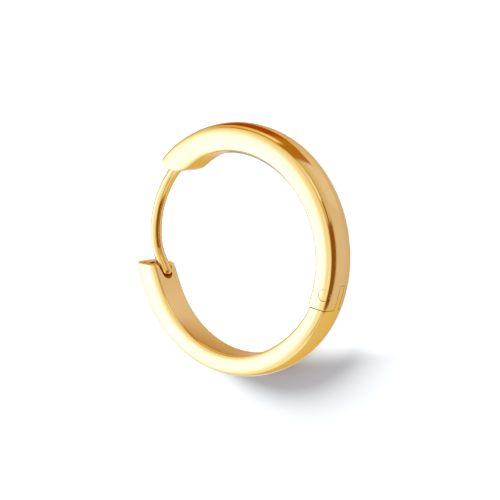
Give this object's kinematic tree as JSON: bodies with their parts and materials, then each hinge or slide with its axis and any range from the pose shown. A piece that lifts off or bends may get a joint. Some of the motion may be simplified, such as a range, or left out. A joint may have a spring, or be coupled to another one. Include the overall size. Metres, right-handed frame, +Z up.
{
  "type": "hinged hoop earring",
  "caption": "Plain polished hoop earring with a hinged lower arc that snaps shut over a curved ear post.",
  "frame": {"origin": "on the surface that the hoop lies on, under the hoop's centre", "axes": "+Z up along the hoop's axis, +X towards the hinge side, +Y towards the top of the front arc; the ear post is on the -X side"},
  "size_m": [0.0198, 0.02, 0.0026],
  "materials": {
    "polished_gold": "gold-coloured metal, polished to a mirror, with faint polishing waves"
  },
  "bodies": {
    "front": {"front_arc": "polished_gold", "hinge_pin": "polished_gold"},
    "gate": {"gate_arc": "polished_gold"}
  },
  "joints": [
    {"name": "gate_hinge", "type": "hinge", "parent": "front", "child": "gate", "pos_m": [0.00902, -0.00271, 0.0013], "axis": [0, 0, 1], "range_deg": [0, 75]}
  ]
}
